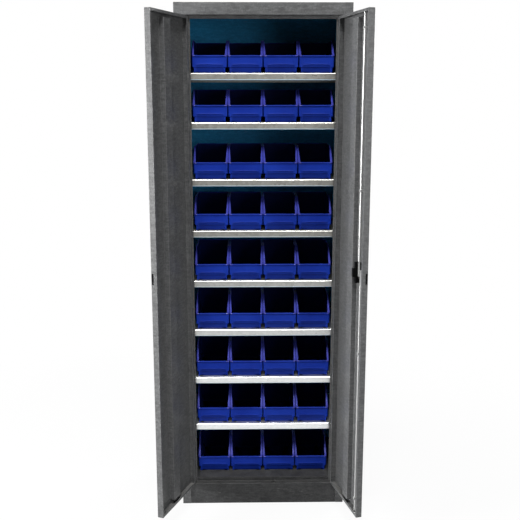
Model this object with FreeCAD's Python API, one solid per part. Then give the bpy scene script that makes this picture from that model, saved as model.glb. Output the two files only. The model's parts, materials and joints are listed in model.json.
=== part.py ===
import FreeCAD, Part
import math
import os

from FreeCAD import Vector

# A tall sheet-steel workshop cabinet with two inset hinged doors, eight galvanised shelves
# and nine rows of open-fronted plastic bins. Millimetres, +Z up, the front faces -Y, and the
# origin is the middle of the footprint on the floor. The doors stand open.

# Carcass
height = 2000.0
width = 665.0
depth = 420.0
sheet = 1.0  # steel of the carcass and the doors
bend = 0.8  # inside radius of a fold
weld_gap = 0.2  # fit between welded panels
stile = 32.0  # front flange of each side panel
header = 45.0  # front face of the roof above the doors
plinth_rise = 88.0
recess = 25.0  # how far the door stops lie behind the front
side_stop = 27.0  # width of the door stop beside the opening
top_stop = 12.0
bottom_stop = 15.6  # the floor panel lies this far above the plinth's ledge
rear_flange = 20.0
foot_flange = 20.0
panel_flange = 15.0  # downturned edges of the roof and the floor panel
wall_hole = 9.0  # fixing holes through the back panel
wall_hole_spacing = 400.0
wall_hole_drop = 160.0  # below the top, behind the highest bins

# Shelves and their supports
shelf_sheet = 1.0
shelf_bend = 4.0  # softer folds than the carcass has
shelf_edge = 28.0  # height of the folded shelf edge
shelf_return = 10.0
shelf_front = 45.0  # behind the front of the cabinet
shelf_back_gap = 25.0
shelf_side_gap = 0.5
first_shelf = 229.6  # above the floor panel
top_room = 206.4  # from the highest shelf to the underside of the header
shelf_steps = (0, 12, 12, 12, 12, 12, 13, 11)  # slots between one shelf and the next
upright_width = 30.0
upright_depth = 12.0
upright_sheet = 1.2
upright_front = 70.0  # from the front of the cabinet to the front uprights
upright_back = 60.0  # from the back of the cabinet to the rear uprights
upright_top_gap = 60.0
slot_width = 4.0
slot_height = 9.0
clip_sheet = 1.5
clip_width = 18.0
clip_tab = 14.0
clip_rise = 12.0
clip_slack = 0.3
clip_hook = 3.0
slot_above_tab = 5.0

# Bins
bin_columns = 4
bin_gap = 1.0  # between neighbours
bin_side_gap = 1.5  # between a row's ends and the edges of the door stops
bin_head_room = 31.35  # below the shelf above, where the shelves are closest
bin_length = 235.0
bin_lip = 62.0  # height of the open front
bin_slope = 72.0  # length of the sloping side edges
bin_wall = 2.2
bin_rim = 4.0  # the rim stands this far out from the walls
bin_rim_depth = 4.5
bin_foot_inset = 7.0  # the stacking foot is narrower than the body
bin_foot_height = 21.0
bin_chin_rise = 25.0  # the front leans in below this height
bin_chin_inset = 8.0
bin_label_width = 92.0
bin_label_height = 17.0
bin_label_depth = 0.8
bin_slope_round = 10.0
bin_lip_round = 5.0
bin_front = 55.0  # behind the front of the cabinet, on the shelves
bin_floor_front = 82.0  # the same on the floor panel
bin_rest_gap = 0.1

# Doors
door_gap = 3.0  # at the hinges and between the doors
door_end_gap = 5.0  # above and below
door_depth = 22.5
door_lip = 9.0
door_round = 1.6
left_open = 111.0  # degrees from closed
right_open = 103.4
stiffener_gap = 10.0  # between the lock's case and the stiffener's foot
stiffener_width = 50.0
stiffener_rise = 20.0
stiffener_foot = 12.0
stiffener_end_gap = 22.0

# Hinges
hinge_count = 3
hinge_inset = 60.0  # from the end of the door to the middle of the hinge
knuckle_radius = 4.0
knuckle_length = 24.0
knuckle_gap = 0.5
knuckle_notch = 0.4  # room cut around each barrel in the stile and the door
leaf = 1.2
leaf_depth = 14.0
pin_radius = 2.0
pin_fit = 0.05

# Lock on the right door
lock_height = 1030.0
lock_inset = 50.0  # from the door's free edge to the spindle
spindle_radius = 4.0
spindle_fit = 0.08
handle_reach = 95.0
handle_width = 18.0
handle_thickness = 7.0
handle_end_round = 8.8
handle_neck = 6.0
handle_boss_radius = 13.0
handle_gap = 0.3
case_width = 66.0
case_body_height = 48.0
case_height = 78.0
case_ear_width = 44.0
case_thickness = 6.0
bridge_width = 16.0
bridge_height = 32.0
bridge_depth = 30.0
bridge_round = 5.0
shoulder_depth = 20.0
shoulder_round = 4.0
shoulder_heel = 12.0  # larger round at the foot, on the hinge side
cam_hub = 8.0
cam_arm = 4.0  # half the width of the arms
cam_thickness = 2.5
cam_gap = 0.5
rod_crank = 10.0  # from the spindle to the pins that drive the rods
bolt_crank = 12.0  # and to the pin that drives the bolt
crank_angle = 45.0  # of the rods' pins above level, with the lock open
drive_pin_radius = 2.5
drive_pin_height = 4.0
drive_slack = 0.6
rod_radius = 4.0
rod_height = 11.0  # of its axis above the door's skin
rod_end = 2.0  # the open rods end this far inside the door
rod_hole_slack = 1.4
link_thickness = 2.0
link_wall = 2.5
link_reach = 48.0
link_lap = 6.0
guide_width = 12.0
guide_height = 8.0
guide_rise = 16.0
guide_slack = 0.3
guide_end = 60.0
guide_middle = 300.0  # from the lock to the inner guides
bolt_thickness = 3.0
bolt_gap = 0.4
bolt_low = 28.0  # below the spindle
bolt_high = 6.0
bolt_tip_gap = 1.0
bolt_wall = 3.4
edge_slot_slack = 3.0

# Places that follow from the sizes above
front = -depth / 2
back = depth / 2
side = width / 2
stile_edge = -side + stile  # inner edge of the left stile
stop_edge = stile_edge + side_stop
stop_face = front + recess
header_under = height - header
floor_level = plinth_rise + bottom_stop
slot_pitch = (header_under - floor_level - first_shelf - top_room) / sum(shelf_steps)
shelf_levels = []
for n in range(len(shelf_steps)):
    shelf_levels.append(floor_level + first_shelf + slot_pitch * sum(shelf_steps[: n + 1]))
upright_face = side - sheet - upright_depth  # distance of the slotted face from the middle
shelf_half = upright_face - clip_sheet - shelf_side_gap
shelf_rear = back - shelf_back_gap
bin_pitch = 2 * (-stop_edge - bin_side_gap) / bin_columns
bin_width = bin_pitch - bin_gap
bin_height = slot_pitch * min(shelf_steps[1:]) - shelf_edge - bin_head_room
door_low = plinth_rise + door_end_gap
door_high = header_under - door_end_gap
door_hinge_edge = -stile_edge - door_gap  # distance from the middle
door_free_edge = door_gap / 2
skin = front + sheet  # inner face of a closed door's skin
hinge_x = -stile_edge - door_gap / 2
hinge_y = front  # the barrels stand half out of the front faces
lock_x = door_free_edge + lock_inset
sine = math.sin(math.radians(crank_angle))
cosine = math.cos(math.radians(crank_angle))
bolt_stroke = 2 * bolt_crank * sine
rod_offset = rod_crank * (1 + cosine) / 2  # rods stand this far to each side of the spindle
upper_rod_x = lock_x + rod_offset
lower_rod_x = lock_x - rod_offset
rod_y = skin + rod_height
rod_hole = rod_radius + rod_hole_slack

UP = Vector(0, 0, 1)
ACROSS = Vector(1, 0, 0)
INWARD = Vector(0, 1, 0)


def box(x0, x1, y0, y1, z0, z1):
    """A block between two corners."""
    return Part.makeBox(x1 - x0, y1 - y0, z1 - z0, Vector(x0, y0, z0))


def rod(radius, length, start, direction):
    """A round bar from start along direction."""
    return Part.makeCylinder(radius, length, start, direction)


def mirrored(shape):
    """The same piece on the other side of the cabinet."""
    return shape.mirror(Vector(0, 0, 0), ACROSS)


def rounded_face(points, radii):
    """A flat face with straight sides and an arc of the given radius at each corner."""
    corners = []
    count = len(points)
    for n, (point, radius) in enumerate(zip(points, radii)):
        if radius <= 0:
            corners.append((point, None, point))
            continue
        before = (points[n - 1] - point).normalize()
        after = (points[(n + 1) % count] - point).normalize()
        half = before.getAngle(after) / 2
        middle = (before + after).normalize()
        reach = radius / math.tan(half)
        top = point + middle * (radius / math.sin(half) - radius)
        corners.append((point + before * reach, top, point + after * reach))
    edges = []
    for n, (start, top, end) in enumerate(corners):
        if top is not None:
            edges.append(Part.Arc(start, top, end).toShape())
        following = corners[(n + 1) % count][0]
        if end.distanceToPoint(following) > 1e-7:
            edges.append(Part.LineSegment(end, following).toShape())
    return Part.Face(Part.Wire(edges))


def folded_sheet(path, thickness, along, inside=bend):
    """Sheet folded along a path, its thickness to the left of the path seen from the tip of along."""
    normal = Vector(along).normalize()
    runs = [(end - start).normalize() for start, end in zip(path, path[1:])]
    left = [normal.cross(run) for run in runs]
    inner = [path[0] + left[0] * thickness]
    path_radii = [0.0]
    inner_radii = [0.0]
    for point, a, b, turn in zip(path[1:-1], left, left[1:], runs[1:]):
        inner.append(point + (a + b) * (thickness / (1 + a.dot(b))))
        turns_left = a.dot(turn) > 0
        path_radii.append(inside + thickness if turns_left else inside)
        inner_radii.append(inside if turns_left else inside + thickness)
    inner.append(path[-1] + left[-1] * thickness)
    path_radii.append(0.0)
    inner_radii.append(0.0)
    outline = list(path) + inner[::-1]
    return rounded_face(outline, path_radii + inner_radii[::-1]).extrude(along)


def plan(x, y, z=0.0):
    return Vector(x, y, z)


def section(y, z, x=0.0):
    return Vector(x, y, z)


def hinge_levels():
    """The middle of each hinge, from the bottom up."""
    low = door_low + hinge_inset
    high = door_high - hinge_inset
    return [low + (high - low) * n / (hinge_count - 1) for n in range(hinge_count)]


def hinge_notches():
    """Room around the right-hand barrels, cut from the stile and the door beside them."""
    reach = knuckle_radius + knuckle_notch
    rise = knuckle_length + knuckle_gap / 2 + knuckle_notch
    return [
        box(hinge_x - reach, hinge_x + reach, hinge_y - reach, hinge_y + reach, level - rise, level + rise)
        for level in hinge_levels()
    ]


def side_panel():
    """The left side: rear flange, wall and stile full height, door stop between plinth and header."""
    outer = [plan(-side + rear_flange, back), plan(-side, back), plan(-side, front), plan(stile_edge, front)]
    stop = [plan(stile_edge, stop_face), plan(stop_edge, stop_face)]
    opening = header_under - plinth_rise
    panel = folded_sheet(outer, sheet, UP * plinth_rise)
    middle = folded_sheet(outer + stop, sheet, UP * opening)
    top = folded_sheet(outer, sheet, UP * header)
    middle.translate(UP * plinth_rise)
    top.translate(UP * header_under)
    foot = box(-side, -side + foot_flange, front + recess, back - 2 * sheet - weld_gap, 0, sheet)
    whole = panel.fuse([middle, top, foot]).removeSplitter()
    return whole.cut([mirrored(notch) for notch in hinge_notches()])


def between_stops(shape, low, high):
    """Cuts the ends of a rail's own door stop clear of the side stops."""
    reach = -stop_edge - weld_gap
    for x0, x1 in ((-side, -reach), (reach, side)):
        shape = shape.cut(box(x0, x1, stop_face - weld_gap, stop_face + recess, low, high))
    return shape


def roof_panel():
    """The roof with its folded front: header face, underside and hanging door stop."""
    path = [
        section(back - sheet, height),
        section(front, height),
        section(front, header_under),
        section(stop_face, header_under),
        section(stop_face, header_under - top_stop),
    ]
    half = -stile_edge - weld_gap
    roof = folded_sheet(path, sheet, ACROSS * (2 * half))
    roof.translate(ACROSS * -half)
    roof = between_stops(roof, header_under - top_stop - sheet, header_under)
    wing = side - sheet - weld_gap
    flange_low = height - panel_flange
    flange_front = front + sheet + weld_gap
    edges = [
        box(-wing, wing, flange_front, back - sheet, height - sheet, height),
        box(-wing, -wing + sheet, flange_front, back - 2 * sheet, flange_low, height),
        box(wing - sheet, wing, flange_front, back - 2 * sheet, flange_low, height),
        box(-wing, wing, back - 3 * sheet, back - 2 * sheet, flange_low, height),
    ]
    roof = roof.fuse(edges).removeSplitter()
    hole = rod(rod_hole, 4 * sheet, Vector(upper_rod_x, rod_y, header_under - sheet), UP)
    return roof.cut(hole)


def plinth():
    """The front of the base: door stop, ledge under the doors, face and floor flange."""
    path = [
        section(stop_face, floor_level),
        section(stop_face, plinth_rise),
        section(front, plinth_rise),
        section(front, 0),
        section(front + foot_flange, 0),
    ]
    half = -stile_edge - weld_gap
    rail = folded_sheet(path, sheet, ACROSS * (2 * half))
    rail.translate(ACROSS * -half)
    rail = between_stops(rail, plinth_rise, floor_level + sheet)
    hole = rod(rod_hole, 4 * sheet, Vector(lower_rod_x, rod_y, plinth_rise - 3 * sheet), UP)
    return rail.cut(hole)


def floor_panel():
    """The bottom of the cabinet, a tray turned down on all four sides."""
    rear = back - 2 * sheet
    low = floor_level - panel_flange
    path = [
        section(rear, low),
        section(rear, floor_level),
        section(stop_face + sheet, floor_level),
        section(stop_face + sheet, floor_level - top_stop),
    ]
    half = side - sheet - weld_gap
    floor = folded_sheet(path, sheet, ACROSS * (2 * half))
    floor.translate(ACROSS * -half)
    tucked = stop_face + 2 * sheet
    edges = [
        box(-half, -half + sheet, tucked, rear, low, floor_level - bend),
        box(half - sheet, half, tucked, rear, low, floor_level - bend),
    ]
    return floor.fuse(edges).removeSplitter()


def back_panel():
    """The flat back inside the rear flanges, clear of their bends, with two holes for fixing to a wall."""
    half = side - sheet - bend - weld_gap
    panel = box(-half, half, back - 2 * sheet, back - sheet, 0, height - sheet)
    for x in (-wall_hole_spacing / 2, wall_hole_spacing / 2):
        start = Vector(x, back - 3 * sheet, height - wall_hole_drop)
        panel = panel.cut(rod(wall_hole / 2, 3 * sheet, start, INWARD))
    return panel


def slot_level(steps):
    """The middle of the slot that many steps above the one that carries the lowest shelf."""
    return shelf_levels[0] - shelf_edge + slot_above_tab + steps * slot_pitch


def upright_places():
    """The front edges of the two uprights on each side."""
    return (front + upright_front, back - upright_back - upright_width)


def upright(y):
    """A slotted channel on the left wall."""
    low = floor_level
    high = height - upright_top_gap
    wall = -side + sheet
    path = [
        plan(wall, y, low),
        plan(-upright_face, y, low),
        plan(-upright_face, y + upright_width, low),
        plan(wall, y + upright_width, low),
    ]
    channel = folded_sheet(path, upright_sheet, UP * (high - low))
    centre = y + upright_width / 2
    below = int((slot_level(0) - low - slot_height) / slot_pitch)
    above = int((high - slot_level(0) - slot_height) / slot_pitch)
    slots = []
    for step in range(-below, above + 1):
        z = slot_level(step)
        slots.append(
            box(
                -upright_face - 2 * upright_sheet,
                -upright_face + upright_sheet,
                centre - slot_width / 2,
                centre + slot_width / 2,
                z - slot_height / 2,
                z + slot_height / 2,
            )
        )
    return channel.cut(slots)


def clip(y, shelf_top):
    """A bracket hooked through one slot of a left upright, with a tab under the shelf's edge."""
    centre = y + upright_width / 2
    half = clip_width / 2
    tab = shelf_top - shelf_edge
    slot = tab + slot_above_tab
    tongue_half = slot_width / 2 - clip_slack
    tongue_rise = slot_height / 2 - clip_slack
    behind = -upright_face - upright_sheet - clip_slack
    near = centre - half
    away = centre + half
    under = tab - clip_sheet
    pieces = [
        box(-upright_face, -upright_face + clip_sheet, near, away, under, tab + clip_rise),
        box(-upright_face, -upright_face + clip_tab, near, away, under, tab),
        box(
            behind - clip_hook,
            -upright_face,
            centre - tongue_half,
            centre + tongue_half,
            slot - tongue_rise,
            slot + tongue_rise,
        ),
        box(
            behind - clip_hook,
            behind,
            centre - tongue_half,
            centre + tongue_half,
            slot - slot_height,
            slot + tongue_rise,
        ),
    ]
    return pieces[0].fuse(pieces[1:]).removeSplitter()


def shelf(level):
    """A shelf folded down on all four sides, with a return under its front edge."""
    low = level - shelf_edge
    face = front + shelf_front
    path = [
        section(shelf_rear, low),
        section(shelf_rear, level),
        section(face, level),
        section(face, low),
        section(face + shelf_return, low),
    ]
    plate = folded_sheet(path, shelf_sheet, ACROSS * (2 * shelf_half), shelf_bend)
    plate.translate(ACROSS * -shelf_half)
    y0 = face + shelf_bend + shelf_sheet
    y1 = shelf_rear - shelf_bend - shelf_sheet
    edges = [
        box(-shelf_half, -shelf_half + shelf_sheet, y0, y1, low, level),
        box(shelf_half - shelf_sheet, shelf_half, y0, y1, low, level),
    ]
    return plate.fuse(edges).removeSplitter()


def storage_bin():
    """An open-fronted bin with its front at y = 0 and its foot on z = 0, centred on x = 0."""
    body = bin_width / 2 - bin_rim
    foot = body - bin_foot_inset
    profile = [
        section(bin_chin_inset, 0),
        section(0, bin_chin_rise),
        section(0, bin_lip),
        section(bin_slope, bin_height),
        section(bin_length, bin_height),
        section(bin_length, 0),
    ]
    radii = [0, 0, bin_lip_round, bin_slope_round, 0, 0]
    shell = rounded_face(profile, radii).extrude(ACROSS * (2 * body))
    shell.translate(ACROSS * -body)
    beyond = bin_length + bin_rim
    for x0, x1 in ((-bin_width, -foot), (foot, bin_width)):
        shell = shell.cut(box(x0, x1, -bin_rim, beyond, -bin_wall, bin_foot_height))

    hollow_profile = [
        section(bin_chin_inset + bin_wall, bin_wall),
        section(bin_wall, bin_chin_rise),
        section(bin_wall, bin_height + bin_rim),
        section(bin_length - bin_wall, bin_height + bin_rim),
        section(bin_length - bin_wall, bin_wall),
    ]
    hollow_face = rounded_face(hollow_profile, [0] * len(hollow_profile))
    lower = hollow_face.extrude(ACROSS * (2 * (foot - bin_wall)))
    lower.translate(ACROSS * (bin_wall - foot))
    upper = hollow_face.extrude(ACROSS * (2 * (body - bin_wall)))
    upper.translate(ACROSS * (bin_wall - body))
    above_foot = box(-body, body, -bin_rim, beyond, bin_foot_height + bin_wall, bin_height + 2 * bin_rim)
    shell = shell.cut([lower, upper.common(above_foot)])

    rim_profile = [
        section(-bin_rim, bin_lip),
        section(0, bin_lip),
        section(bin_slope, bin_height),
        section(bin_length + bin_rim, bin_height),
        section(bin_length + bin_rim, bin_height - bin_rim_depth),
        section(bin_slope, bin_height - bin_rim_depth),
        section(0, bin_lip - bin_rim_depth),
        section(-bin_rim, bin_lip - bin_rim_depth),
    ]
    rim_radii = [0, bin_lip_round, bin_slope_round, 0, 0, bin_slope_round, bin_lip_round, 0]
    rim = rounded_face(rim_profile, rim_radii).extrude(ACROSS * bin_width)
    rim.translate(ACROSS * (-bin_width / 2))
    inside = body - bin_wall
    rim = rim.cut(box(-inside, inside, bin_wall, bin_length - bin_wall, 0, 2 * bin_height))
    edge = bin_width / 2
    plate = box(-edge, edge, 0, bin_wall, bin_foot_height, bin_lip - bin_rim_depth / 2)
    label = bin_label_width / 2
    label_low = bin_chin_rise + bin_wall
    pocket = box(-label, label, -bin_rim, bin_label_depth, label_low, label_low + bin_label_height)
    return shell.fuse([rim, plate]).removeSplitter().cut(pocket)


def bin_place(row, column):
    """Where a bin's front middle stands; row 0 is on the floor panel."""
    x = (column - (bin_columns - 1) / 2) * bin_pitch
    if row == 0:
        return Vector(x, front + bin_floor_front + bin_rim, floor_level + bin_rest_gap)
    return Vector(x, front + bin_front + bin_rim, shelf_levels[row - 1] + bin_rest_gap)


def swing(shape, is_left):
    """Turns a closed door's piece to the angle at which that door stands open."""
    turned = shape.copy()
    if is_left:
        turned.rotate(Vector(-hinge_x, hinge_y, 0), UP, -left_open)
    else:
        turned.rotate(Vector(hinge_x, hinge_y, 0), UP, right_open)
    return turned


def door_tray():
    """The right door closed: a skin with folded edges and a narrow lip all round, slotted for the bolt."""
    tray = box(door_free_edge, door_hinge_edge, front, front + door_depth, door_low, door_high)
    rounded = []
    for edge in tray.Edges:
        bounds = edge.BoundBox
        on_front = bounds.YMax < front + sheet
        along_depth = bounds.YLength > door_depth - sheet
        if on_front or along_depth:
            rounded.append(edge)
    tray = tray.makeFillet(door_round, rounded)
    x0 = door_free_edge + sheet
    x1 = door_hinge_edge - sheet
    z0 = door_low + sheet
    z1 = door_high - sheet
    inner = front + door_depth
    cavity = box(x0, x1, skin, inner - sheet, z0, z1)
    mouth = box(x0 + door_lip, x1 - door_lip, skin, inner + sheet, z0 + door_lip, z1 - door_lip)
    slot = box(
        door_free_edge - sheet,
        x0 + sheet,
        skin,
        skin + bolt_thickness + 2 * bolt_gap,
        lock_height - bolt_low - edge_slot_slack,
        lock_height + bolt_high + edge_slot_slack,
    )
    return tray.cut([cavity, mouth, slot] + hinge_notches())


def lock_door():
    """The right door with its holes for the spindle and the two rods."""
    spindle = rod(spindle_radius + spindle_fit, 3 * sheet, Vector(lock_x, front - sheet, lock_height), INWARD)
    upper = rod(rod_hole, 3 * sheet, Vector(upper_rod_x, rod_y, door_high - 2 * sheet), UP)
    lower = rod(rod_hole, 3 * sheet, Vector(lower_rod_x, rod_y, door_low - sheet), UP)
    return door_tray().cut([spindle, upper, lower])


def stiffener():
    """The right door's hat channel, welded to the inside of the skin beside the lock."""
    x0 = lock_x + case_width / 2 + stiffener_gap + stiffener_foot
    x1 = x0 + stiffener_width
    low = door_low + stiffener_end_gap
    top = skin + stiffener_rise - sheet
    path = [
        plan(x0 - stiffener_foot, skin, low),
        plan(x0, skin, low),
        plan(x0, top, low),
        plan(x1, top, low),
        plan(x1, skin, low),
        plan(x1 + stiffener_foot, skin, low),
    ]
    return folded_sheet(path, sheet, UP * (door_high - door_low - 2 * stiffener_end_gap))


def knuckle(level, on_door):
    """One right-hand hinge half: a barrel with a leaf in the gap beside the door."""
    start = level + knuckle_gap / 2 if on_door else level - knuckle_gap / 2 - knuckle_length
    axis = Vector(hinge_x, hinge_y, start)
    barrel = rod(knuckle_radius, knuckle_length, axis, UP)
    bore = rod(pin_radius + pin_fit, knuckle_length, axis, UP)
    face = door_hinge_edge if on_door else -stile_edge - leaf
    root = hinge_y + (pin_radius + knuckle_radius) / 2
    plate = box(face, face + leaf, root, front + leaf_depth, start, start + knuckle_length)
    return barrel.fuse(plate).cut(bore)


def hinge_pin(level):
    """The pin through both barrels of one hinge."""
    start = level - knuckle_gap / 2 - knuckle_length
    return rod(pin_radius, 2 * knuckle_length + knuckle_gap, Vector(hinge_x, hinge_y, start), UP)


def lock_point(x, height_above_skin, z):
    """A point of the lock, from the spindle across, above the skin and up."""
    return Vector(lock_x + x, skin + height_above_skin, lock_height + z)


def lock_box(x0, x1, low, high, z0, z1):
    """A block of the lock, measured as lock_point is."""
    start = lock_point(x0, low, z0)
    return Part.makeBox(x1 - x0, high - low, z1 - z0, start)


def lock_block(x0, x1, z0, z1, depth, rounds):
    """A block that stands on the skin, its upright edges rounded in turn from the low free corner."""
    corners = [lock_point(x0, 0, z0), lock_point(x1, 0, z0), lock_point(x1, 0, z1), lock_point(x0, 0, z1)]
    return rounded_face(corners, rounds).extrude(INWARD * depth)


def bolt_reach():
    """How far the bolt's tail runs past the spindle on the hinge side."""
    return spindle_radius + drive_slack + bolt_stroke + bolt_wall


def bolt_top():
    """The top of the bolt's tail above the spindle."""
    return bolt_crank + drive_pin_radius + drive_slack + bolt_wall


def lock_case():
    """The black body of the lock: a plate with a channel for the bolt, and a stepped hump beside the cam."""
    half = case_width / 2
    body = lock_box(-half, half, 0, case_thickness, -case_body_height / 2, case_body_height / 2)
    ear = case_ear_width / 2
    ears = lock_box(-ear, ear, 0, case_thickness, -case_height / 2, case_height / 2)
    near = half - bridge_width
    bridge = lock_block(near, half, -bridge_height / 2, bridge_height / 2, bridge_depth, [bridge_round] * 4)
    rounds = [shoulder_round, shoulder_heel, shoulder_round, shoulder_round]
    shoulder = lock_block(near, half, -case_height / 2, case_height / 2, shoulder_depth, rounds)
    case = body.fuse([ears, bridge, shoulder]).removeSplitter()
    channel_depth = bolt_thickness + 2 * bolt_gap
    far = bolt_reach() + bolt_gap
    head = lock_box(-2 * half, far, -sheet, channel_depth, -bolt_low - bolt_gap, bolt_high + bolt_gap)
    tail_end = spindle_radius + bolt_wall + bolt_stroke + bolt_gap
    tail = lock_box(-tail_end, far, -sheet, channel_depth, 0, bolt_top() + bolt_gap)
    swing_half = bolt_crank * sine + drive_pin_radius + drive_slack
    window = lock_box(
        -swing_half,
        swing_half,
        0,
        2 * case_thickness,
        bolt_crank * cosine - drive_pin_radius - drive_slack,
        bolt_crank + drive_pin_radius + drive_slack,
    )
    hole = rod(spindle_radius + spindle_fit, 2 * case_thickness, lock_point(0, 0, 0), INWARD)
    return case.cut([head, tail, window, hole])


def lock_handle():
    """The outside lever, its boss and the spindle through the door."""
    boss_depth = handle_gap + handle_neck
    root = lock_point(0, -sheet - boss_depth, 0)
    boss = rod(handle_boss_radius, handle_neck, root, INWARD)
    half = handle_width / 2
    outer = -sheet - boss_depth - handle_thickness
    corners = [
        lock_point(-handle_boss_radius, outer, -half),
        lock_point(handle_reach, outer, -half),
        lock_point(handle_reach, outer, half),
        lock_point(-handle_boss_radius, outer, half),
    ]
    lever = rounded_face(corners, [handle_end_round] * 4).extrude(INWARD * handle_thickness)
    inner_end = case_thickness + cam_gap + cam_thickness
    spindle = rod(spindle_radius, inner_end + sheet + boss_depth, root, INWARD)
    return boss.fuse([lever, spindle]).removeSplitter()


def cam_spoke(x, base, z):
    """One arm of the cam, from the spindle out to a round end at a pin."""
    bar = Part.makeBox(math.hypot(x, z), cam_thickness, 2 * cam_arm, Vector(0, 0, -cam_arm))
    bar.rotate(Vector(0, 0, 0), INWARD, -math.degrees(math.atan2(z, x)))
    bar.translate(lock_point(0, base, 0))
    return bar.fuse(rod(cam_arm, cam_thickness, lock_point(x, base, z), INWARD))


def lock_cam():
    """The three-armed plate on the spindle's inner end, with the pins that drive the rods and the bolt."""
    base = case_thickness + cam_gap
    top = base + cam_thickness
    hub = rod(cam_hub, cam_thickness, lock_point(0, base, 0), INWARD)
    x = rod_crank * cosine
    z = rod_crank * sine
    bolt_x = bolt_crank * sine
    bolt_z = bolt_crank * cosine
    arms = [cam_spoke(-x, base, z), cam_spoke(x, base, -z), cam_spoke(bolt_x, base, bolt_z)]
    lower_pin = rod(drive_pin_radius, drive_pin_height, lock_point(-x, top, z), INWARD)
    upper_pin = rod(drive_pin_radius, drive_pin_height, lock_point(x, top, -z), INWARD)
    bolt_pin = rod(drive_pin_radius, base - bolt_gap, lock_point(bolt_x, bolt_gap, bolt_z), INWARD)
    hole = rod(spindle_radius + spindle_fit, cam_thickness, lock_point(0, base, 0), INWARD)
    return hub.fuse(arms + [lower_pin, upper_pin, bolt_pin]).removeSplitter().cut(hole)


def lock_rod(is_upper):
    """A rod to the top or bottom of the door, with a flat link that the cam's pin drives."""
    sign = 1 if is_upper else -1
    x = sign * rod_offset
    hold = drive_pin_radius + drive_slack
    slot_half = rod_crank * (1 - cosine) / 2 + hold
    pin_z = -sign * rod_crank * sine
    link_low = rod_height - link_thickness / 2
    half = slot_half + link_wall
    z0, z1 = sorted((pin_z - sign * (hold + link_wall), sign * link_reach))
    link = lock_box(x - half, x + half, link_low, link_low + link_thickness, z0, z1)
    slot = lock_box(x - slot_half, x + slot_half, 0, 2 * rod_height, pin_z - hold, pin_z + hold)
    start = lock_height + sign * (link_reach - link_lap)
    end = door_high - rod_end if is_upper else door_low + rod_end
    bar = rod(rod_radius, abs(end - start), Vector(lock_x + x, rod_y, start), UP * sign)
    return link.cut(slot).fuse(bar).removeSplitter()


def rod_guides():
    """Blocks on the skin that the two rods slide through."""
    guides = []
    places = (
        (upper_rod_x, door_high - guide_end),
        (upper_rod_x, lock_height + guide_middle),
        (lower_rod_x, lock_height - guide_middle),
        (lower_rod_x, door_low + guide_end),
    )
    for x, z in places:
        half = guide_width / 2
        block = box(x - half, x + half, skin, skin + guide_rise, z - guide_height / 2, z + guide_height / 2)
        bore = rod(rod_radius + guide_slack, guide_height, Vector(x, rod_y, z - guide_height / 2), UP)
        guides.append(block.cut(bore))
    return guides


def centre_bolt():
    """The flat bolt behind the skin, which slides into the other door's edge."""
    tip = door_free_edge + sheet + bolt_tip_gap - lock_x
    low = bolt_gap
    high = bolt_gap + bolt_thickness
    head = lock_box(tip, bolt_reach(), low, high, -bolt_low, bolt_high)
    tail = lock_box(-spindle_radius - bolt_wall, bolt_reach(), low, high, 0, bolt_top())
    clear = spindle_radius + drive_slack
    spindle_slot = lock_box(-clear, clear + bolt_stroke, -sheet, 2 * high, -clear, clear)
    hold = drive_pin_radius + drive_slack
    pin_x = bolt_crank * sine
    pin_slot = lock_box(
        pin_x - hold, pin_x + hold, -sheet, 2 * high, bolt_crank * cosine - hold, bolt_crank + hold
    )
    return head.fuse(tail).removeSplitter().cut([spindle_slot, pin_slot])


def carcass():
    """The welded body of the cabinet and what is fixed in it."""
    left = side_panel()
    uprights = [upright(y) for y in upright_places()]
    clips = [clip(y, level) for level in shelf_levels for y in upright_places()]
    hinges = []
    for level in hinge_levels():
        hinges += [knuckle(level, False), hinge_pin(level)]
    return {
        "left_side_panel": [left],
        "right_side_panel": [mirrored(left)],
        "back_panel": [back_panel()],
        "roof_panel": [roof_panel()],
        "floor_panel": [floor_panel()],
        "plinth": [plinth()],
        "shelf_uprights": uprights + [mirrored(u) for u in uprights],
        "shelf_clips": clips + [mirrored(c) for c in clips],
        "shelves": [shelf(level) for level in shelf_levels],
        "frame_hinges": hinges + [mirrored(h) for h in hinges],
    }


def doors():
    """Both doors with their stiffeners and hinge halves, standing open."""
    tray = door_tray()
    hat = stiffener()
    halves = [knuckle(level, True) for level in hinge_levels()]
    return {
        "left_door": [swing(mirrored(tray), True)],
        "left_door_stiffener": [swing(mirrored(hat), True)],
        "left_door_hinges": [swing(mirrored(h), True) for h in halves],
        "right_door": [swing(lock_door(), False)],
        "right_door_stiffener": [swing(hat, False)],
        "right_door_hinges": [swing(h, False) for h in halves],
    }


def lock():
    """The three-point lock on the right door, open."""
    pieces = {
        "lock_case": [lock_case()],
        "lock_handle": [lock_handle()],
        "lock_cam": [lock_cam()],
        "upper_rod": [lock_rod(True)],
        "lower_rod": [lock_rod(False)],
        "rod_guides": rod_guides(),
        "centre_bolt": [centre_bolt()],
    }
    return {name: [swing(s, False) for s in solids] for name, solids in pieces.items()}


def bins():
    """One bin in each place, numbered by row from the bottom and column from the left."""
    pattern = storage_bin()
    pieces = {}
    for row in range(len(shelf_levels) + 1):
        for column in range(bin_columns):
            copy = pattern.copy()
            copy.translate(bin_place(row, column))
            pieces[f"bin_row{row + 1}_{column + 1}"] = [copy]
    return pieces


def write(name, solids):
    """Writes one node, as a single solid or as a group of separate ones."""
    shape = solids[0] if len(solids) == 1 else Part.makeCompound(solids)
    for solid in solids:
        if not solid.isValid() or len(solid.Solids) != 1:
            print("check", name, solid.isValid(), len(solid.Solids))
    shape.exportStep(os.path.join("parts", name + ".step"))


def main():
    os.makedirs("parts", exist_ok=True)
    nodes = {**carcass(), **doors(), **lock(), **bins()}
    for name, solids in nodes.items():
        write(name, solids)
    print(len(nodes), "nodes,", sum(len(s) for s in nodes.values()), "solids")


main()
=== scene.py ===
import json
import math

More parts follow.
